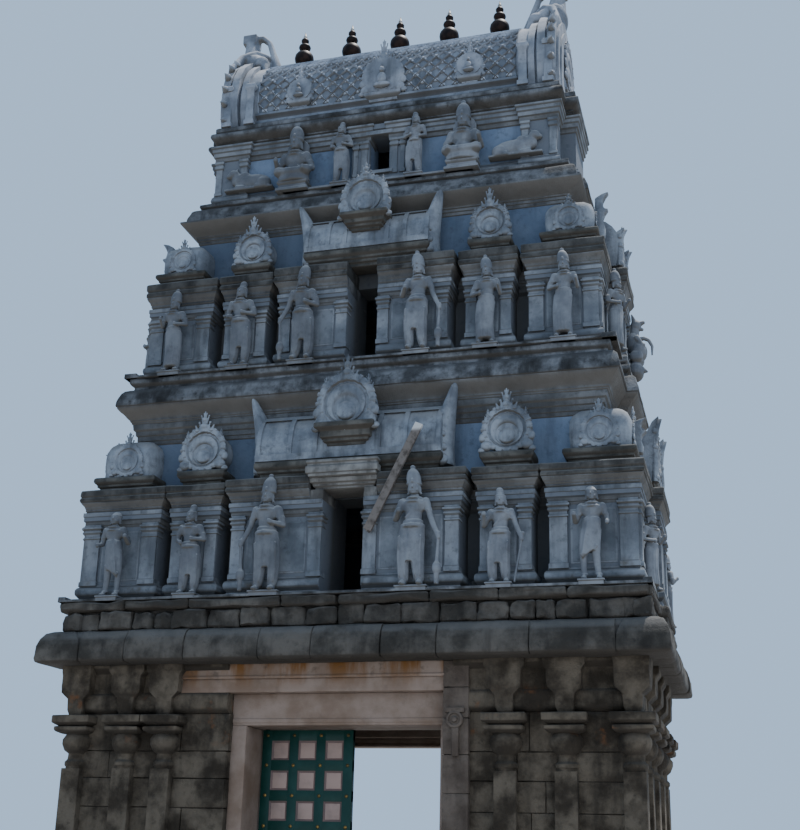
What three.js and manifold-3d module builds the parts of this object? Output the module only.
// Gateway tower of a temple: stone base with a passage, three stuccoed storeys and a vaulted roof.
// Millimetres, +Z up, origin on the ground at the middle of the plan, front towards -Y.
import * as THREE from 'three';
import { mergeVertices } from 'three/addons/utils/BufferGeometryUtils.js';
import Module from 'manifold-3d';

const wasm = await Module();
wasm.setup();

// Driving dimensions of the stone base
const BASE_HALF_WIDTH = 3550;
const BASE_HALF_DEPTH = 1750;
const PLINTH_TOP = 950;
const BEAM_BOTTOM = 3650;
const BASE_TOP = 4000;
const BASE_CORNICE_TOP = 4430;
const SLAB_TOP = 4800;
const BASE_CORNICE_HALF_WIDTH = 3700;
const BASE_CORNICE_HALF_DEPTH = 1900;
const SLAB_HALF_WIDTH = 3800;
const SLAB_HALF_DEPTH = 2100;
const SLAB_SIDE_OUTER = 3890;
const SLAB_SIDE_HALF = 700;

// Gateway
const PASSAGE_HALF_WIDTH = 1340;
const FRAME_HALF_WIDTH = 1440;
const DOOR_HALF_WIDTH = 1240;
const DOOR_HEAD = 3260;
const PASSAGE_FLOOR = 150;
const FRAME_FRONT = -1640;
const FRAME_BACK = -1000;
const BEAM_FRONT = -1790;
const BEAM_BACK = -1200;
const BEAM_LEFT = -2110;
const BEAM_FILLET_BOTTOM = 3820;
const BEAM_FILLET_REACH = 40;
const BACK_LINTEL_FRONT = 1200;
const PIER_INNER = 1310;
const PIER_OUTER = 1620;
const PIER_FRONT = -1830;
const CEILING_BEARING = 1600;

// Door leaves
const HINGE_X = 1170;
const HINGE_Y = -1100;
const LEAF_THICKNESS = 80;
const LEAF_EDGE = 45;
const LEAF_REACH = 1164;
const LEAF_CLEARANCE = 10;
const PIN_GAP = 0.3;
const PIN_RADIUS = 30;
const LEAF_BORDER = 65;
const PANEL_COLUMNS = 3;
const PANEL_ROWS = 8;
const PANEL_SIZE = 240;
const PANEL_DEPTH = 20;

// A curved piece keeps this gap to the flat wall that it leans on
const SEAT_GAP = 0.3;

// Further out than any face, for cuts that go right through
const FAR = 20000;

// How far the foot mouldings of a bay stand out, and the figures' ledges clear them by the seat gap
const BAY_FOOT_REACH = 45;
const RELIEF = BAY_FOOT_REACH + 1 + SEAT_GAP;

// Ledges of the side figures, one at each corner bay
const SIDE_LEDGE_DEPTH = 104;
const SIDE_LEDGE_HEIGHT = 70;
const SIDE_LEDGE_HALF = 160;
const SIDE_FIGURE_SHARE = 0.72;

const FIRST_STOREY = {
  name: 'first',
  floor: SLAB_TOP,
  bayTop: 6050,
  corniceTop: 6370,
  wallTop: 7420,
  wallHalfWidth: 3200,
  wallHalfDepth: 1400,
  thickness: 450,
  centreHalfWidth: 1500,
  centreFront: 1880,
  secondInner: 1740,
  secondOuter: 2380,
  cornerInner: 2590,
  cornerOuter: 3650,
  bayFront: 1800,
  sideCornerInner: 800,
  sideCentreHalf: 500,
  sideCentreOuter: 3780,
  doorHalfWidth: 270,
  doorTop: 6190,
  corniceReach: 95,
  domeWidth: 880,
  domeTop: 7230,
  panelWidth: 640,
  panelRadius: 300,
  panelTop: 7440,
  vaultHalfLength: 1250,
  vaultTop: 7330,
  hornReach: 170,
  hornTop: 7560,
  medallionRadius: 400,
  medallionHeight: 7330,
  medallionTop: 8010,
  figures: [
    { x: 950, y: 2040, height: 1520, club: true },
    { x: 2020, y: 1970, height: 1200, club: false },
    { x: 3110, y: 1970, height: 1160, club: false },
  ],
  sideFigure: 1100,
  brow: [1975, 6050],
  ledgeFront: 2095,
  ledgeBack: 1926,
};

const SECOND_STOREY = {
  name: 'second',
  floor: 8080,
  bayTop: 9200,
  corniceTop: 9600,
  wallTop: 10700,
  wallHalfWidth: 2750,
  wallHalfDepth: 950,
  thickness: 400,
  centreHalfWidth: 1200,
  centreFront: 1400,
  secondInner: 1430,
  secondOuter: 2050,
  cornerInner: 2280,
  cornerOuter: 3200,
  bayFront: 1340,
  sideCornerInner: 600,
  sideCentreHalf: 370,
  sideCentreOuter: 3400,
  doorHalfWidth: 215,
  doorTop: 9410,
  corniceReach: 90,
  domeWidth: 760,
  domeTop: 10340,
  panelWidth: 560,
  panelRadius: 260,
  panelTop: 10600,
  vaultHalfLength: 900,
  vaultTop: 10450,
  hornReach: 140,
  hornTop: 10650,
  medallionRadius: 350,
  medallionHeight: 10570,
  medallionTop: 11130,
  figures: [
    { x: 810, y: 1555, height: 1450, club: true },
    { x: 1740, y: 1500, height: 1300, club: false },
    { x: 2760, y: 1500, height: 1280, club: false },
  ],
  sideFigure: 1050,
  brow: [1490, 9200],
  ledgeFront: 1600,
  ledgeBack: 1446,
};

const THIRD_STOREY = {
  name: 'third',
  floor: 11080,
  wallTop: 12100,
  wallHalfWidth: 2550,
  wallHalfDepth: 780,
  thickness: 350,
  cornerInner: 2100,
  cornerOuter: 2620,
  bayFront: 850,
  centreHalfWidth: 420,
  centreFront: 880,
  sideCornerInner: 560,
  sideCentreHalf: 400,
  sideCentreOuter: 2820,
  windowHalfWidth: 155,
  windowBottom: 11330,
  windowTop: 11920,
  figures: [
    { x: 560, y: 970, height: 1040, club: false },
    { x: 1280, y: 960, height: 1100, club: false, seated: true },
  ],
  brow: [940, 12100],
  ledgeFront: 1040,
  ledgeBack: 911,
};

// Floor cornices: half width and half depth of the wall below, and the part that stands out at each side
const SECOND_FLOOR = { halfWidth: 3210, halfDepth: 1410, sideOuter: 3360, sideHalf: 500 };
const THIRD_FLOOR = { halfWidth: 2650, halfDepth: 850, sideOuter: 2760, sideHalf: 480 };
const ROOF_CORNICE = { halfWidth: 2560, halfDepth: 780, sideOuter: 2740, sideHalf: 460 };

// Slab over the first storey's door, and its upper step, which is wider and stands further out
const CANOPY_HALF = 450;
const CANOPY_STEP = 140;
const CANOPY_REACH = [70, 150, 170];
const CANOPY_CAP_HALF = 480;
const CANOPY_TOP = 6550;

// Timber that leans on the first bay cornice, its foot on a peg in the wall
const TIMBER_FOOT = [360, 5600];
const TIMBER_HEAD = [1000, 6950];
const TIMBER_WIDTH = 105;
const TIMBER_THICKNESS = 50;
const TIMBER_FRONT = -2026;
const PEG_RADIUS = 18;

// Roof
const ROOF_CORNICE_TOP = 12450;
const HATCH_HALF_WIDTH = 2000;
const HATCH_HALF_DEPTH = 450;
const VAULT_HALF_LENGTH = 2050;
const VAULT_SHELL = 200;
const GABLE_OUTER = 2680;
const GABLE_RINGS = [[2050, 1, 1], [2200, 1.02, 1.03], [2440, 1.08, 1.1], [2600, 1.12, 1.14], [GABLE_OUTER, 1.08, 1.1]];
const CREST_TOP = 14700;
const CREST_OUTLINE = [[-260, 13700], [260, 13700], [320, 14150], [200, 14450], [0, CREST_TOP], [-200, 14450],
  [-320, 14150]];
const CREST_INNER = 2350;
const CREST_OUTER = 2700;
const VAULT_MEDALLION_FRONT = -900;
const VAULT_MEDALLION_DEPTH = 250;
const FINIAL_SPACING = 810;
const FINIAL_FOOT = 13930;
const ROOF_MEDALLIONS = [
  { x: -1330, radius: 210, height: 12950 },
  { x: 0, radius: 330, height: 12980 },
  { x: 1330, radius: 210, height: 12950 },
];

// Half of the vault's outline in Y and Z, from the springing to the ridge
const VAULT_CURVE = [[700, 12450], [780, 12700], [800, 12950], [745, 13250], [600, 13520], [380, 13750],
  [150, 13890], [0, FINIAL_FOOT]];

// Radius and height of a finial
const FINIAL_PROFILE = [[0, 0], [105, 0], [105, 25], [60, 60], [135, 135], [155, 205], [130, 280], [45, 350],
  [95, 420], [70, 480], [38, 505], [58, 560], [20, 640], [12, 715], [0, 720]];
const FINIAL_COUNT = 5;

// Mouldings: how far each level stands out, and its height
const BASE_PROFILE = [[300, 0], [300, 180], [240, 200], [240, 420], [200, 440], [260, 500], [260, 590], [200, 660],
  [150, 680], [150, 800], [220, 820], [220, 880], [0, PLINTH_TOP], [0, 3400], [70, 3460], [70, 3620], [30, 3650],
  [30, 3900], [120, 3960], [120, BASE_TOP]];
const BASE_CORNICE_PROFILE = [[60, 4000], [290, 4020], [300, 4060], [290, 4250], [240, 4380], [180, BASE_CORNICE_TOP]];
const SLAB_PROFILE = [[-40, BASE_CORNICE_TOP], [-40, 4490], [0, 4520], [0, 4760], [-30, SLAB_TOP]];

// Small roofs, in shares of their half width, reach and height
const DOME_PLAN = [[1, -0.7], [1, 0.7], [0.7, 1], [-0.7, 1], [-1, 0.7], [-1, -0.7], [-0.7, -1], [0.7, -1]];
const DOME_PROFILE = [[1, 0], [1, 0.14], [0.8, 0.2], [0.98, 0.36], [1, 0.56], [0.86, 0.76], [0.55, 0.9],
  [0.14, 0.98], [0.03, 1.12]];
const BARREL_PROFILE = [[0, -0.05], [0.86, -0.03], [1, 0.2], [0.97, 0.5], [0.78, 0.78], [0.45, 0.96], [0, 1]];
const BARREL_FOOT = [110, 190, 270];
const SIDE_VAULT_PROFILE = [[0, 0], [-0.92, 0], [-0.92, 0.16], [-0.78, 0.2], [-0.78, 0.32], [-0.95, 0.4], [-1, 0.55],
  [-0.85, 0.78], [-0.5, 0.94], [0, 1]];
const SIDE_HORN_PROFILE = [[0, 0.1], [-0.95, 0.1], [-1.02, 0.35], [-1, 0.6], [-1.13, 1], [-0.86, 0.84],
  [-0.5, 0.98], [0, 0.98]];
const SIDE_HORN_IN = 80;
const SIDE_HORN_OUT = 20;

// Figures, in shares of their height: radius and height of the body, standing and seated, and the arms
const STANDING_BODY = [[0, 0], [0.11, 0], [0.13, 0.4], [0.105, 0.6], [0.15, 0.76], [0.05, 0.82], [0.068, 0.9], [0, 1]];
const SEATED_BODY = [[0, 0], [0.24, 0], [0.25, 0.16], [0.105, 0.6], [0.15, 0.76], [0.05, 0.82], [0.068, 0.9], [0, 1]];
const BODY_DEPTH = 0.7;
const SHOULDER = [0.1, 0, 0.75];
const RAISED_HAND = [0.19, -0.09, 0.55];
const CLUB_HAND = [0.25, -0.03, 0.42];
const CLUB_TOP = 0.46;
const ARM_RADIUS = 0.036;
const STAND_HEIGHT = { standing: 70, seated: 130 };
const STAND_HALF = { standing: 150, seated: 220 };
const LEDGE_HEIGHT = 40;
const LEDGE_END = 160;

const finish = {
  stone: new THREE.MeshStandardMaterial({ color: 0x5f564e, roughness: 0.95, metalness: 0 }),
  darkStone: new THREE.MeshStandardMaterial({ color: 0x45423f, roughness: 0.95, metalness: 0 }),
  plaster: new THREE.MeshStandardMaterial({ color: 0xa39488, roughness: 0.9, metalness: 0 }),
  stucco: new THREE.MeshStandardMaterial({ color: 0x8d929b, roughness: 0.9, metalness: 0 }),
  figureStucco: new THREE.MeshStandardMaterial({ color: 0xa6a8ad, roughness: 0.9, metalness: 0 }),
  corniceStucco: new THREE.MeshStandardMaterial({ color: 0x5c5c5c, roughness: 0.95, metalness: 0 }),
  doorPaint: new THREE.MeshStandardMaterial({ color: 0x123a31, roughness: 0.6, metalness: 0 }),
  timber: new THREE.MeshStandardMaterial({ color: 0x857a70, roughness: 0.9, metalness: 0 }),
  metal: new THREE.MeshStandardMaterial({ color: 0x3a2a22, roughness: 0.5, metalness: 0.8 }),
};

// Turns a closed three.js geometry into a solid that can be joined and cut
function toSolid(geometry) {
  const plain = geometry.index ? geometry.toNonIndexed() : geometry.clone();
  plain.deleteAttribute('normal');
  plain.deleteAttribute('uv');
  const merged = mergeVertices(plain, 1e-3);
  return new wasm.Manifold(new wasm.Mesh({
    numProp: 3,
    vertProperties: new Float32Array(merged.attributes.position.array),
    triVerts: new Uint32Array(merged.index.array),
  }));
}

function toGeometry(solid) {
  const mesh = solid.getMesh();
  const geometry = new THREE.BufferGeometry();
  geometry.setAttribute('position', new THREE.BufferAttribute(new Float32Array(mesh.vertProperties), 3));
  geometry.setIndex(new THREE.BufferAttribute(new Uint32Array(mesh.triVerts), 1));
  geometry.computeVertexNormals();
  return geometry;
}

function addPiece(group, name, solid, material) {
  const mesh = new THREE.Mesh(toGeometry(solid), material);
  mesh.name = name;
  group.add(mesh);
  return mesh;
}

function union(solids) {
  return solids.reduce((whole, next) => whole.add(next));
}

// The biggest body of a cut, without the films that a cut along a face leaves
function largest(solid) {
  return solid.decompose().sort((a, b) => b.volume() - a.volume())[0];
}

// A box between two corners
function block(x0, x1, y0, y1, z0, z1) {
  const geometry = new THREE.BoxGeometry(x1 - x0, y1 - y0, z1 - z0);
  geometry.translate((x0 + x1) / 2, (y0 + y1) / 2, (z0 + z1) / 2);
  return toSolid(geometry);
}

// A solid skinned over rings of points of the same count; flatten gives a ring's own plane for its end faces
function skin(rings, flatten = (point) => new THREE.Vector2(point.x, point.y)) {
  const count = rings[0].length;
  const positions = rings.flat().flatMap((point) => [point.x, point.y, point.z]);
  const index = [];
  for (let level = 0; level + 1 < rings.length; level += 1) {
    for (let i = 0; i < count; i += 1) {
      const a = level * count + i;
      const b = level * count + ((i + 1) % count);
      index.push(a, b, b + count, a, b + count, a + count);
    }
  }
  const last = (rings.length - 1) * count;
  for (const [a, b, c] of THREE.ShapeUtils.triangulateShape(rings[0].map(flatten), [])) {
    index.push(a, c, b, last + a, last + b, last + c);
  }
  const geometry = new THREE.BufferGeometry();
  geometry.setAttribute('position', new THREE.BufferAttribute(new Float32Array(positions), 3));
  geometry.setIndex(index);
  return toSolid(geometry);
}

// Moves every edge of a right-angled outline outwards by the same reach
function grow(outline, reach) {
  return outline.map(([x, y], i) => {
    const before = outline[(i + outline.length - 1) % outline.length];
    const after = outline[(i + 1) % outline.length];
    const fromBefore = [Math.sign(y - before[1]), -Math.sign(x - before[0])];
    const toAfter = [Math.sign(after[1] - y), -Math.sign(after[0] - x)];
    return [x + reach * (fromBefore[0] + toAfter[0]), y + reach * (fromBefore[1] + toAfter[1])];
  });
}

// A moulded course: the outline grown by each reach of the profile at its height
function moulding(outline, profile) {
  return skin(profile.map(([reach, z]) => grow(outline, reach).map(([x, y]) => new THREE.Vector3(x, y, z))));
}

// The whole outline from its front right quarter, which runs from the front middle to the right middle
function fourfold(quarter) {
  const back = quarter.map(([x, y]) => [x, -y]).reverse();
  const right = [...quarter, ...back];
  const left = right.map(([x, y]) => [-x, -y]);
  return [...right, ...left];
}

function rectangle(halfWidth, halfDepth) {
  return fourfold([[halfWidth, -halfDepth]]);
}

// Rectangle whose left and right sides stand out in the middle
function sideStep({ halfWidth, halfDepth, sideOuter, sideHalf }) {
  return fourfold([[halfWidth, -halfDepth], [halfWidth, -sideHalf], [sideOuter, -sideHalf]]);
}

// A flat shape in X and Z given depth towards the front
function frontPlate(shape, faceY, depth, curveSegments = 8) {
  const geometry = new THREE.ExtrudeGeometry(shape, { depth, bevelEnabled: false, curveSegments });
  geometry.applyMatrix4(new THREE.Matrix4().makeBasis(
    new THREE.Vector3(1, 0, 0),
    new THREE.Vector3(0, 0, 1),
    new THREE.Vector3(0, -1, 0),
  ));
  geometry.translate(0, faceY + depth, 0);
  return toSolid(geometry);
}

// A flat shape in Y and Z run along X
function run(points, x0, x1) {
  const shape = new THREE.Shape(points.map(([y, z]) => new THREE.Vector2(y, z)));
  const geometry = new THREE.ExtrudeGeometry(shape, { depth: x1 - x0, bevelEnabled: false });
  geometry.applyMatrix4(new THREE.Matrix4().makeBasis(
    new THREE.Vector3(0, 1, 0),
    new THREE.Vector3(0, 0, 1),
    new THREE.Vector3(1, 0, 0),
  ));
  geometry.translate(x0, 0, 0);
  return toSolid(geometry);
}

function turned(profile, segments) {
  const geometry = new THREE.LatheGeometry(profile.map(([r, z]) => new THREE.Vector2(r, z)), segments);
  geometry.rotateX(Math.PI / 2);
  return toSolid(geometry);
}

function rod(from, to, radius, segments = 6) {
  const start = new THREE.Vector3(...from);
  const end = new THREE.Vector3(...to);
  const direction = end.clone().sub(start);
  const geometry = new THREE.CylinderGeometry(radius, radius, direction.length(), segments);
  geometry.applyQuaternion(new THREE.Quaternion().setFromUnitVectors(
    new THREE.Vector3(0, 1, 0),
    direction.clone().normalize(),
  ));
  const middle = start.add(end).multiplyScalar(0.5);
  geometry.translate(middle.x, middle.y, middle.z);
  return toSolid(geometry);
}

// Standing or seated figure facing the front, feet at the origin; a guard leans on a club
function figure({ height, club, seated }, facing = 1) {
  const scaled = (share) => share.map((value) => value * height);
  const body = turned((seated ? SEATED_BODY : STANDING_BODY).map(scaled), 6).scale([1, BODY_DEPTH, 1]);
  const parts = [body];
  for (const side of [-1, 1]) {
    const lowered = club && side === facing;
    const [handX, handY, handZ] = scaled(lowered ? CLUB_HAND : RAISED_HAND);
    const [shoulderX, shoulderY, shoulderZ] = scaled(SHOULDER);
    parts.push(rod([side * shoulderX, shoulderY, shoulderZ], [side * handX, handY, handZ], height * ARM_RADIUS, 4));
    if (lowered) {
      parts.push(rod([side * handX, handY, height * CLUB_TOP], [side * handX, handY, 0], height * ARM_RADIUS, 5));
    }
  }
  return union(parts);
}

// Pilasters of the base; those left of the gateway stand closer together than those on its right
const PILASTER_HALF = 130;
const PILASTER_REACH = 100;
const PILASTER_TOP = 3450;
const CUSHION = { half: 200, bottom: 3080, top: 3200 };
const ABACUS = { half: 260, bottom: 3270, top: 3370 };
const CORBEL = { half: 120, reach: 150, top: 3950 };
const FRONT_PILASTERS = [2050, 2750, -2280, -2810];
const SIDE_PILASTERS = [-900, 0, 900];

// Square post about an axis
function post(x, y, half, bottom, top) {
  return block(x - half, x + half, y - half, y + half, bottom, top);
}

function pilaster(x, y) {
  return [
    post(x, y, PILASTER_HALF, PLINTH_TOP - 50, PILASTER_TOP),
    post(x, y, CUSHION.half, CUSHION.bottom, CUSHION.top),
    post(x, y, ABACUS.half, ABACUS.bottom, ABACUS.top),
    block(x - CORBEL.half, x + CORBEL.half, y - CORBEL.reach, y + CORBEL.reach, ABACUS.top - 10, CORBEL.top),
  ];
}

function basePilasters() {
  const cornerX = BASE_HALF_WIDTH - PILASTER_HALF + PILASTER_REACH;
  const faceY = BASE_HALF_DEPTH - PILASTER_HALF + PILASTER_REACH;
  const parts = [];
  for (const front of [-1, 1]) {
    for (const x of [...FRONT_PILASTERS, -cornerX, cornerX]) {
      parts.push(...pilaster(x, front * faceY));
    }
  }
  for (const y of SIDE_PILASTERS) {
    parts.push(...pilaster(-cornerX, y), ...pilaster(cornerX, y));
  }
  return parts;
}

// Stone base: plinth mouldings, wall, frieze and pilasters on every outer side
function baseMass() {
  const shell = moulding(rectangle(BASE_HALF_WIDTH, BASE_HALF_DEPTH), BASE_PROFILE);
  const pier = block(PIER_INNER, PIER_OUTER, PIER_FRONT, FRAME_FRONT, 0, BASE_TOP);
  return union([shell, ...basePilasters(), pier]);
}

function buildBase() {
  const group = new THREE.Group();
  let mass = baseMass();
  const cuts = [
    block(-PASSAGE_HALF_WIDTH, PASSAGE_HALF_WIDTH, FRAME_BACK, FAR, -FAR, FAR),
    block(-FRAME_HALF_WIDTH, FRAME_HALF_WIDTH, FRAME_FRONT, FRAME_BACK, -FAR, FAR),
    block(-FRAME_HALF_WIDTH, PIER_INNER, -FAR, FRAME_FRONT, -FAR, FAR),
    block(BEAM_LEFT, 0, -FAR, BEAM_BACK, BEAM_BOTTOM, FAR),
    block(-CEILING_BEARING, CEILING_BEARING, BEAM_BACK, FAR, BEAM_BOTTOM, FAR),
    block(0, FRAME_HALF_WIDTH, FRAME_FRONT, BEAM_BACK, BEAM_BOTTOM, FAR),
  ];
  for (const cut of cuts) {
    mass = mass.subtract(cut);
  }
  addPiece(group, 'base_left', mass.intersect(block(-FAR, 0, -FAR, FAR, -FAR, FAR)), finish.stone);
  addPiece(group, 'base_right', mass.intersect(block(0, FAR, -FAR, FAR, -FAR, FAR)), finish.stone);
  addPiece(group, 'passage_floor', union([
    block(-PASSAGE_HALF_WIDTH, PASSAGE_HALF_WIDTH, FRAME_BACK, BASE_HALF_DEPTH, 0, PASSAGE_FLOOR - 20),
    block(-FRAME_HALF_WIDTH, FRAME_HALF_WIDTH, FRAME_FRONT, FRAME_BACK, 0, PASSAGE_FLOOR),
  ]), finish.darkStone);
  addPiece(group, 'passage_ceiling', block(
    -CEILING_BEARING, CEILING_BEARING, BEAM_BACK, BACK_LINTEL_FRONT, BEAM_BOTTOM, BASE_TOP,
  ), finish.stone);
  addPiece(group, 'lintel_front', union([
    block(BEAM_LEFT, PIER_INNER, BEAM_FRONT, BEAM_BACK, BEAM_BOTTOM, BASE_TOP),
    block(BEAM_LEFT, PIER_INNER, BEAM_FRONT - BEAM_FILLET_REACH, BEAM_BACK, BEAM_FILLET_BOTTOM, BASE_TOP),
    block(PIER_INNER - 100, FRAME_HALF_WIDTH, FRAME_FRONT, BEAM_BACK, BEAM_BOTTOM, BASE_TOP),
  ]), finish.plaster);
  addPiece(group, 'lintel_back', union([
    block(-CEILING_BEARING, CEILING_BEARING, BACK_LINTEL_FRONT, BASE_HALF_DEPTH + 30, BEAM_BOTTOM, BASE_TOP),
    block(-PASSAGE_HALF_WIDTH, PASSAGE_HALF_WIDTH, 1300, 1700, 3380, BEAM_BOTTOM),
    block(-PASSAGE_HALF_WIDTH, PASSAGE_HALF_WIDTH, 1420, 1700, DOOR_HEAD, 3380),
  ]), finish.plaster);
  for (const [name, side] of [['left', -1], ['right', 1]]) {
    const inner = side * DOOR_HALF_WIDTH;
    const outer = side * FRAME_HALF_WIDTH;
    addPiece(group, `jamb_${name}`, block(
      Math.min(inner, outer), Math.max(inner, outer), FRAME_FRONT, FRAME_BACK, PASSAGE_FLOOR, DOOR_HEAD,
    ), finish.plaster);
  }
  addPiece(group, 'door_head', block(
    -FRAME_HALF_WIDTH, FRAME_HALF_WIDTH, FRAME_FRONT, FRAME_BACK, DOOR_HEAD, BEAM_BOTTOM,
  ), finish.plaster);
  addPiece(group, 'base_cornice', moulding(
    rectangle(BASE_CORNICE_HALF_WIDTH, BASE_CORNICE_HALF_DEPTH), BASE_CORNICE_PROFILE,
  ), finish.darkStone);
  addPiece(group, 'slab_course', moulding(sideStep({
    halfWidth: SLAB_HALF_WIDTH,
    halfDepth: SLAB_HALF_DEPTH,
    sideOuter: SLAB_SIDE_OUTER,
    sideHalf: SLAB_SIDE_HALF,
  }), SLAB_PROFILE), finish.darkStone);
  return group;
}

// Door leaf with its pivot line at the origin, reaching towards +X, its outer face towards -Y
function leaf() {
  const bottom = PASSAGE_FLOOR + LEAF_CLEARANCE;
  const top = DOOR_HEAD - LEAF_CLEARANCE;
  const half = LEAF_THICKNESS / 2;
  let solid = block(-LEAF_EDGE, LEAF_REACH, -half, half, bottom, top);
  const width = LEAF_EDGE + LEAF_REACH;
  const pitchX = (width - 2 * LEAF_BORDER) / PANEL_COLUMNS;
  const pitchZ = (top - bottom - 2 * LEAF_BORDER) / PANEL_ROWS;
  for (let column = 0; column < PANEL_COLUMNS; column += 1) {
    for (let row = 0; row < PANEL_ROWS; row += 1) {
      const x = -LEAF_EDGE + LEAF_BORDER + pitchX * (column + 0.5);
      const z = bottom + LEAF_BORDER + pitchZ * (row + 0.5);
      solid = solid.subtract(block(
        x - PANEL_SIZE / 2, x + PANEL_SIZE / 2, -half - 10, -half + PANEL_DEPTH, z - PANEL_SIZE / 2, z + PANEL_SIZE / 2,
      ));
    }
  }
  const pins = [
    rod([0, 0, PASSAGE_FLOOR + PIN_GAP], [0, 0, bottom + 20], PIN_RADIUS, 12),
    rod([0, 0, top - 20], [0, 0, DOOR_HEAD - PIN_GAP], PIN_RADIUS, 12),
  ];
  return union([solid, ...pins]);
}

function buildLeaves() {
  const group = new THREE.Group();
  const left = addPiece(group, 'leaf_left', leaf(), finish.doorPaint);
  left.position.set(-HINGE_X, HINGE_Y, 0);
  const right = addPiece(group, 'leaf_right', leaf().mirror([1, 0, 0]), finish.doorPaint);
  right.position.set(HINGE_X, HINGE_Y, 0);
  right.rotation.z = -Math.PI / 2;
  return group;
}

function bayOutline(storey) {
  return fourfold([
    [storey.centreHalfWidth, -storey.centreFront],
    [storey.centreHalfWidth, -storey.wallHalfDepth],
    [storey.secondInner, -storey.wallHalfDepth],
    [storey.secondInner, -storey.bayFront],
    [storey.secondOuter, -storey.bayFront],
    [storey.secondOuter, -storey.wallHalfDepth],
    [storey.cornerInner, -storey.wallHalfDepth],
    [storey.cornerInner, -storey.bayFront],
    [storey.cornerOuter, -storey.bayFront],
    [storey.cornerOuter, -storey.sideCornerInner],
    [storey.wallHalfWidth, -storey.sideCornerInner],
    [storey.wallHalfWidth, -storey.sideCentreHalf],
    [storey.sideCentreOuter, -storey.sideCentreHalf],
  ]);
}

// Cuts a ring of wall into its four sides; the long sides keep the corners
function addWalls(group, storey, ring) {
  const inner = storey.wallHalfDepth - storey.thickness;
  const split = {
    front: block(-FAR, FAR, -FAR, -inner, 0, FAR),
    back: block(-FAR, FAR, inner, FAR, 0, FAR),
    left: block(-FAR, 0, -inner, inner, 0, FAR),
    right: block(0, FAR, -inner, inner, 0, FAR),
  };
  for (const [side, region] of Object.entries(split)) {
    addPiece(group, `${storey.name}_wall_${side}`, largest(ring.intersect(region)), finish.stucco);
  }
}

function storeyRing(storey) {
  const { floor, bayTop } = storey;
  const bays = moulding(bayOutline(storey), [
    [10, floor],
    [10, floor + 90],
    [BAY_FOOT_REACH, floor + 130],
    [BAY_FOOT_REACH, floor + 230],
    [0, floor + 260],
    [0, bayTop - 140],
    [40, bayTop - 100],
    [40, bayTop],
  ]);
  const upper = block(
    -storey.wallHalfWidth, storey.wallHalfWidth, -storey.wallHalfDepth, storey.wallHalfDepth,
    bayTop - 10, storey.wallTop,
  );
  const inner = block(
    -storey.wallHalfWidth + storey.thickness, storey.wallHalfWidth - storey.thickness,
    -storey.wallHalfDepth + storey.thickness, storey.wallHalfDepth - storey.thickness,
    floor - 10, storey.wallTop + 10,
  );
  const door = block(
    -storey.doorHalfWidth, storey.doorHalfWidth, -FAR, FAR, floor - 10, storey.doorTop,
  );
  return union([bays, upper]).subtract(inner).subtract(door);
}

function bayCornice(storey, gapHalfWidth) {
  const { bayTop, corniceTop, corniceReach } = storey;
  const rise = corniceTop - bayTop;
  let ring = moulding(bayOutline(storey), [
    [40, bayTop],
    [corniceReach, bayTop + rise * 0.22],
    [corniceReach, bayTop + rise * 0.45],
    [corniceReach * 0.6, bayTop + rise * 0.85],
    [corniceReach * 0.3, corniceTop],
  ]);
  ring = ring.subtract(block(
    -storey.wallHalfWidth, storey.wallHalfWidth, -storey.wallHalfDepth, storey.wallHalfDepth, 0, FAR,
  ));
  if (gapHalfWidth) {
    ring = ring.subtract(block(-gapHalfWidth, gapHalfWidth, -FAR, 0, bayTop - 10, corniceTop + 10));
  }
  return ring.subtract(block(
    -storey.doorHalfWidth, storey.doorHalfWidth, -FAR, FAR, bayTop - 10, storey.doorTop,
  ));
}

// Small corner pavilion roof on a rounded square plan
function cornerDome(storey, x, y) {
  const foot = storey.corniceTop;
  const height = storey.domeTop - foot;
  const half = storey.domeWidth / 2;
  return skin(DOME_PROFILE.map(([scale, rise]) => DOME_PLAN.map(([u, v]) => new THREE.Vector3(
    x + u * half * scale, y + v * half * scale, foot + rise * height,
  ))));
}

// Upright disc with a flame above it
function discWithFlame(x, height, radius, top, faceY, depth) {
  const disc = new THREE.Shape();
  disc.absarc(x, height, radius, 0, Math.PI * 2);
  const flame = new THREE.Shape([
    new THREE.Vector2(x - radius * 0.34, height + radius * 0.8),
    new THREE.Vector2(x + radius * 0.34, height + radius * 0.8),
    new THREE.Vector2(x + radius * 0.26, height + (top - height) * 0.72),
    new THREE.Vector2(x, top),
    new THREE.Vector2(x - radius * 0.26, height + (top - height) * 0.72),
  ]);
  return union([frontPlate(disc, faceY, depth), frontPlate(flame, faceY + depth * 0.25, depth * 0.5)]);
}

function horseshoePanel(storey, x) {
  const foot = storey.corniceTop;
  const half = storey.panelWidth / 2;
  const back = -storey.wallHalfDepth;
  const discHeight = storey.corniceTop + 210 + storey.panelRadius;
  return union([
    block(x - half, x + half, -storey.bayFront + 10, back - SEAT_GAP, foot, foot + 110),
    block(x - half * 0.8, x + half * 0.8, -storey.bayFront + 60, back - SEAT_GAP, foot + 100, foot + 180),
    block(x - half, x + half, -storey.bayFront + 20, back - SEAT_GAP, foot + 170, foot + 260),
    discWithFlame(x, discHeight, storey.panelRadius, storey.panelTop,
      -storey.bayFront + 20, storey.bayFront - storey.wallHalfDepth - 20 - SEAT_GAP),
  ]);
}

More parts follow.
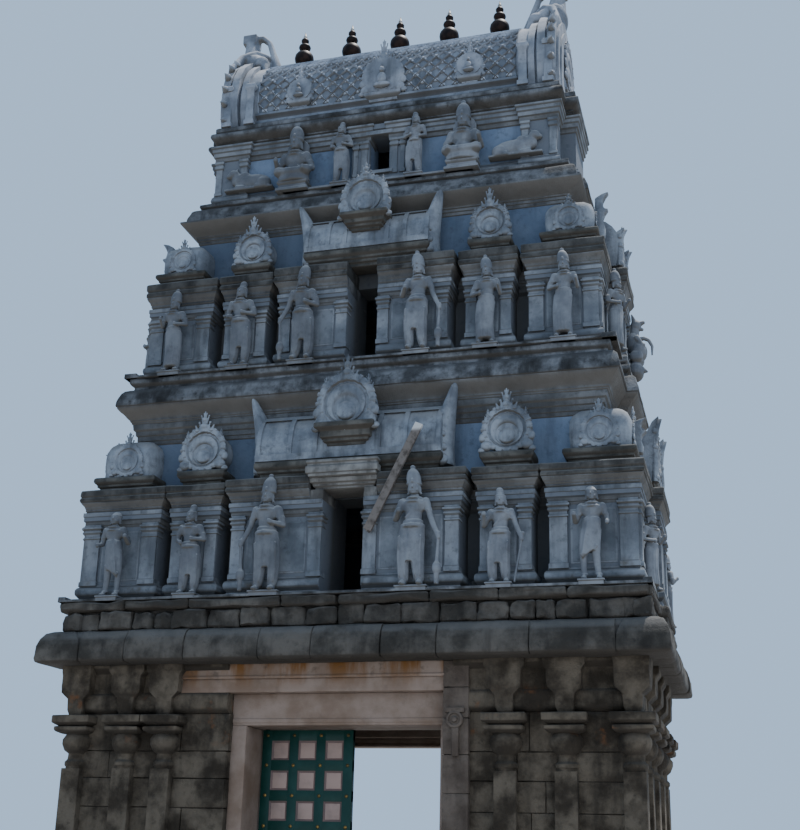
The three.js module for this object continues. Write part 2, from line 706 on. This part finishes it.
// Half barrel against the wall, with an upright horned plate at each end
function engagedVault(storey, halfLength, front, top) {
  const back = -storey.wallHalfDepth - SEAT_GAP;
  const foot = storey.corniceTop;
  const [lowTop, neckTop, spring] = BARREL_FOOT.map((height) => foot + height);
  const reach = front + storey.wallHalfDepth;
  const barrel = BARREL_PROFILE.map(([out, up]) => [back + reach * out, spring + (top - spring) * up]);
  return union([
    run([[back, foot], [front + 20, foot], [front + 20, lowTop], [back, lowTop]], -halfLength, halfLength),
    run([[back, lowTop - 10], [front + 90, lowTop - 10], [front + 90, neckTop], [back, neckTop]],
      -halfLength + 60, halfLength - 60),
    run([[back, neckTop - 10], [front + 10, neckTop - 10], [front + 10, spring], [back, spring]],
      -halfLength, halfLength),
    run(barrel.reverse(), -halfLength, halfLength),
  ]);
}

// Upright horned plate at an end of the half barrel
function hornPlate(storey, side) {
  const back = -storey.wallHalfDepth - SEAT_GAP;
  const front = -storey.bayFront + 40;
  const foot = storey.corniceTop;
  const { hornTop, vaultHalfLength, hornReach } = storey;
  const shape = [
    [back, foot + 150], [front, foot + 150], [front - 60, foot + 350], [front - 10, hornTop - 380],
    [front - 30, hornTop - 100], [front, hornTop], [front + 90, hornTop - 140], [back, hornTop - 170],
  ];
  const from = side > 0 ? vaultHalfLength - 10 : -vaultHalfLength - hornReach + 30;
  return run(shape.reverse(), from, from + hornReach - 20);
}

function longParapet(storey) {
  const foot = storey.corniceTop;
  const back = -storey.wallHalfDepth - SEAT_GAP;
  const cornerX = (storey.cornerInner + storey.cornerOuter) / 2;
  const cornerY = -(storey.bayFront + storey.sideCornerInner) / 2;
  const secondX = (storey.secondInner + storey.secondOuter) / 2;
  const medallionBack = -storey.bayFront + 60;
  const { medallionRadius, medallionHeight } = storey;
  const bracketTop = medallionHeight - medallionRadius * 0.67;
  const bracketStep = medallionHeight - medallionRadius * 0.9;
  const parts = [
    block(-cornerX, cornerX, back - 100, back, foot, foot + 90),
    engagedVault(storey, storey.vaultHalfLength, -storey.centreFront, storey.vaultTop),
    hornPlate(storey, -1),
    hornPlate(storey, 1),
    discWithFlame(0, medallionHeight, medallionRadius, storey.medallionTop, medallionBack - 240, 260),
    block(-medallionRadius, medallionRadius, medallionBack - 290, back, bracketStep, bracketTop),
    block(-medallionRadius * 0.85, medallionRadius * 0.85, medallionBack - 210, back,
      medallionHeight - medallionRadius * 1.4, bracketStep + 10),
  ];
  for (const side of [-1, 1]) {
    parts.push(cornerDome(storey, side * cornerX, cornerY));
    parts.push(horseshoePanel(storey, side * secondX));
  }
  return union(parts).subtract(block(
    -storey.wallHalfWidth - SEAT_GAP, storey.wallHalfWidth + SEAT_GAP, back, FAR, 0, FAR,
  ));
}

// Barrel roof over the middle of a side, with a medallion and a leaning horned plate at each end
function shortParapet(storey) {
  const foot = storey.corniceTop;
  const half = storey.sideCentreHalf;
  const back = storey.wallHalfWidth + SEAT_GAP;
  const reach = storey.sideCentreOuter - storey.wallHalfWidth;
  const height = storey.vaultTop - foot;
  const placed = (profile) => profile.map(([out, up]) => [out * reach, foot + up * height]).reverse();
  const parts = [
    run(placed(SIDE_VAULT_PROFILE), -half, half),
    run(placed(SIDE_HORN_PROFILE), half - SIDE_HORN_IN, half + SIDE_HORN_OUT),
    run(placed(SIDE_HORN_PROFILE), -half - SIDE_HORN_OUT, -half + SIDE_HORN_IN),
    discWithFlame(0, foot + height * 0.6, half * 0.55, storey.wallTop - 20, -reach - 30, reach),
  ];
  return union(parts).rotate([0, 0, 90]).translate([back, 0, 0]);
}

// The ledge's turn round the front right corner, with the figure beside the corner bay
function cornerFigure(storey) {
  const { floor, cornerOuter, bayFront, ledgeFront, ledgeBack } = storey;
  const inner = storey.figures[storey.figures.length - 1].x;
  const back = cornerOuter + RELIEF;
  const front = back + SIDE_LEDGE_DEPTH;
  const y = -bayFront * SIDE_FIGURE_SHARE;
  const parts = [
    block(inner, front, -ledgeFront, -ledgeBack, floor, floor + LEDGE_HEIGHT),
    block(back, front, -ledgeFront, y + SIDE_LEDGE_HALF, floor, floor + SIDE_LEDGE_HEIGHT),
    figure({ height: storey.sideFigure }).rotate([0, 0, 90])
      .translate([(back + front) / 2, y, floor + SIDE_LEDGE_HEIGHT - 5]),
  ];
  return union(parts).subtract(block(0, back, -bayFront - RELIEF, FAR, 0, FAR))
    .subtract(block(0, cornerOuter + storey.corniceReach + SEAT_GAP, -FAR, FAR, storey.bayTop, FAR));
}

// Ledge in front of the wall with the figures that stand on it
function figureRow(storey) {
  const { floor, ledgeFront, ledgeBack } = storey;
  const outer = storey.figures[storey.figures.length - 1].x + LEDGE_END;
  const parts = [block(-outer, outer, -ledgeFront, -ledgeBack, floor, floor + LEDGE_HEIGHT)];
  for (const spec of storey.figures) {
    const manner = spec.seated ? 'seated' : 'standing';
    const stand = STAND_HEIGHT[manner];
    const wide = STAND_HALF[manner];
    for (const side of [-1, 1]) {
      const x = side * spec.x;
      parts.push(block(x - wide, x + wide, -ledgeFront, -ledgeBack, floor, floor + stand));
      parts.push(figure(spec, side).translate([x, -spec.y, floor + stand - 5]));
    }
  }
  const centre = storey.centreHalfWidth + RELIEF;
  const [brow, browFoot] = storey.brow;
  const row = union(parts)
    .subtract(block(-centre, centre, -storey.centreFront - RELIEF, 0, 0, FAR))
    .subtract(block(-FAR, FAR, -storey.bayFront - RELIEF, 0, 0, FAR))
    .subtract(block(-FAR, FAR, -brow - SEAT_GAP, 0, browFoot, FAR));
  if (!storey.sideFigure) {
    return row;
  }
  const corner = cornerFigure(storey);
  return union([row, corner, corner.mirror([1, 0, 0])]);
}

function addBothWays(group, name, solid, material) {
  addPiece(group, `${name}_front`, solid, material);
  addPiece(group, `${name}_back`, solid.mirror([0, 1, 0]), material);
}

function buildStorey(storey, canopyHalfWidth) {
  const group = new THREE.Group();
  addWalls(group, storey, storeyRing(storey));
  addPiece(group, `${storey.name}_bay_cornice`, bayCornice(storey, canopyHalfWidth), finish.corniceStucco);
  addBothWays(group, `${storey.name}_parapet`, longParapet(storey), finish.stucco);
  const short = shortParapet(storey);
  addPiece(group, `${storey.name}_parapet_right`, short, finish.stucco);
  addPiece(group, `${storey.name}_parapet_left`, short.mirror([1, 0, 0]), finish.stucco);
  addBothWays(group, `${storey.name}_figures`, figureRow(storey), finish.figureStucco);
  return group;
}

// Wide cornice that closes the storey below and is the floor of the one above
function floorCornice(plan, soffit, top) {
  return moulding(sideStep(plan), [
    [0, soffit],
    [40, soffit + 60],
    [60, soffit + 110],
    [240, soffit + 170],
    [250, soffit + 250],
    [200, soffit + (top - soffit) * 0.7],
    [120, top - 60],
    [120, top],
  ]);
}

function buildThirdStorey() {
  const storey = THIRD_STOREY;
  const group = new THREE.Group();
  const outline = fourfold([
    [storey.centreHalfWidth, -storey.centreFront],
    [storey.centreHalfWidth, -storey.wallHalfDepth],
    [storey.cornerInner, -storey.wallHalfDepth],
    [storey.cornerInner, -storey.bayFront],
    [storey.cornerOuter, -storey.bayFront],
    [storey.cornerOuter, -storey.sideCornerInner],
    [storey.wallHalfWidth, -storey.sideCornerInner],
    [storey.wallHalfWidth, -storey.sideCentreHalf],
    [storey.sideCentreOuter, -storey.sideCentreHalf],
  ]);
  const ring = moulding(outline, [
    [10, storey.floor],
    [30, storey.floor + 60],
    [30, storey.floor + 150],
    [0, storey.floor + 180],
    [0, storey.wallTop - 120],
    [40, storey.wallTop - 80],
    [40, storey.wallTop],
  ]);
  const inner = block(
    -storey.wallHalfWidth + storey.thickness, storey.wallHalfWidth - storey.thickness,
    -storey.wallHalfDepth + storey.thickness, storey.wallHalfDepth - storey.thickness,
    storey.floor - 10, storey.wallTop + 10,
  );
  const window = block(
    -storey.windowHalfWidth, storey.windowHalfWidth, -FAR, FAR, storey.windowBottom, storey.windowTop,
  );
  addWalls(group, storey, ring.subtract(inner).subtract(window));
  addBothWays(group, 'third_figures', figureRow(storey), finish.figureStucco);
  return group;
}

// Stepped slab over the middle door, in the gap of the bay cornice
function doorCanopy(storey) {
  const { doorHalfWidth, doorTop, bayTop, centreFront } = storey;
  const back = -storey.wallHalfDepth - SEAT_GAP;
  return union([
    block(-CANOPY_HALF, CANOPY_HALF, -centreFront - CANOPY_REACH[0], back, doorTop, doorTop + CANOPY_STEP),
    block(-CANOPY_HALF, CANOPY_HALF, -centreFront - CANOPY_REACH[1], back, doorTop + CANOPY_STEP, storey.corniceTop),
    block(-CANOPY_CAP_HALF, CANOPY_CAP_HALF, -centreFront - CANOPY_REACH[2], -centreFront - SEAT_GAP,
      storey.corniceTop, CANOPY_TOP),
    block(-CANOPY_HALF, -doorHalfWidth, -centreFront - CANOPY_REACH[0] / 2, back, bayTop, doorTop),
    block(doorHalfWidth, CANOPY_HALF, -centreFront - CANOPY_REACH[0] / 2, back, bayTop, doorTop),
  ]);
}

// Plank that leans flat on the bay cornice; its foot stands on a peg that meets the wall
function leaningTimber(storey) {
  const [footX, footZ] = TIMBER_FOOT;
  const [headX, headZ] = TIMBER_HEAD;
  const length = Math.hypot(headX - footX, headZ - footZ);
  const lean = THREE.MathUtils.radToDeg(Math.atan2(headX - footX, headZ - footZ));
  const plank = block(-TIMBER_WIDTH / 2, TIMBER_WIDTH / 2, TIMBER_FRONT, TIMBER_FRONT + TIMBER_THICKNESS, 0, length)
    .rotate([0, lean, 0]).translate([footX, 0, footZ]);
  const peg = rod([footX, -storey.centreFront - SEAT_GAP, footZ], [footX, TIMBER_FRONT + 5, footZ], PEG_RADIUS, 8);
  return union([plank, peg]);
}

function vaultOutline(spread, lift, drop = 0) {
  const foot = VAULT_CURVE[0][1];
  const right = VAULT_CURVE.map(([y, z]) => [y * spread, foot + (z - foot) * lift]);
  right[0][1] = foot - drop;
  const left = right.slice(0, -1).map(([y, z]) => [-y, z]).reverse();
  return [...right, ...left];
}

function buildRoof() {
  const group = new THREE.Group();
  const ring = moulding(sideStep(ROOF_CORNICE), [
    [60, THIRD_STOREY.wallTop],
    [150, THIRD_STOREY.wallTop + 60],
    [160, THIRD_STOREY.wallTop + 130],
    [110, THIRD_STOREY.wallTop + 270],
    [40, ROOF_CORNICE_TOP],
  ]).subtract(block(-HATCH_HALF_WIDTH, HATCH_HALF_WIDTH, -HATCH_HALF_DEPTH, HATCH_HALF_DEPTH, 0, FAR));
  addPiece(group, 'roof_cornice', ring, finish.corniceStucco);

  const crown = FINIAL_FOOT - VAULT_CURVE[0][1];
  const spring = VAULT_CURVE[2][0];
  const hollow = vaultOutline((spring - VAULT_SHELL) / spring, (crown - VAULT_SHELL) / crown, 10);
  const shell = run(vaultOutline(1, 1), -VAULT_HALF_LENGTH, VAULT_HALF_LENGTH)
    .subtract(run(hollow, -VAULT_HALF_LENGTH - 10, VAULT_HALF_LENGTH + 10));
  const medallions = [];
  for (const { x, radius, height } of ROOF_MEDALLIONS) {
    const disc = union([
      discWithFlame(x, height, radius, height + radius * 1.75, VAULT_MEDALLION_FRONT, VAULT_MEDALLION_DEPTH),
      block(x - radius * 0.85, x + radius * 0.85, VAULT_MEDALLION_FRONT + 10, -VAULT_CURVE[0][0],
        height - radius * 1.35, height - radius * 0.6),
    ]);
    medallions.push(disc, disc.mirror([0, 1, 0]));
  }
  addPiece(group, 'roof_vault', union([shell, ...medallions]), finish.stucco);

  const gable = skin(
    GABLE_RINGS.map(([x, spread, lift]) => vaultOutline(spread, lift).map(([y, z]) => new THREE.Vector3(x, y, z))),
    (point) => new THREE.Vector2(point.y, point.z),
  );
  const crest = run(CREST_OUTLINE, CREST_INNER, CREST_OUTER);
  const whole = union([gable, crest]);
  addPiece(group, 'gable_right', whole, finish.stucco);
  addPiece(group, 'gable_left', whole.mirror([1, 0, 0]), finish.stucco);

  const pot = turned(FINIAL_PROFILE, 8);
  for (let n = 0; n < FINIAL_COUNT; n += 1) {
    const finial = addPiece(group, `finial_${n + 1}`, pot, finish.metal);
    finial.position.set((n - (FINIAL_COUNT - 1) / 2) * FINIAL_SPACING, 0, FINIAL_FOOT);
  }
  return group;
}

function build() {
  const tower = new THREE.Group();
  tower.add(buildBase());
  tower.add(buildLeaves());
  tower.add(buildStorey(FIRST_STOREY, CANOPY_HALF));
  tower.add(buildStorey(SECOND_STOREY));
  addPiece(tower, 'door_canopy', doorCanopy(FIRST_STOREY), finish.plaster);
  addPiece(tower, 'leaning_timber', leaningTimber(FIRST_STOREY), finish.timber);
  tower.add(buildThirdStorey());
  tower.add(buildRoof());
  addPiece(tower, 'second_floor_cornice', floorCornice(SECOND_FLOOR, FIRST_STOREY.wallTop, SECOND_STOREY.floor),
    finish.corniceStucco);
  addPiece(tower, 'third_floor_cornice', floorCornice(THIRD_FLOOR, SECOND_STOREY.wallTop, THIRD_STOREY.floor),
    finish.corniceStucco);
  return tower;
}

export default build();
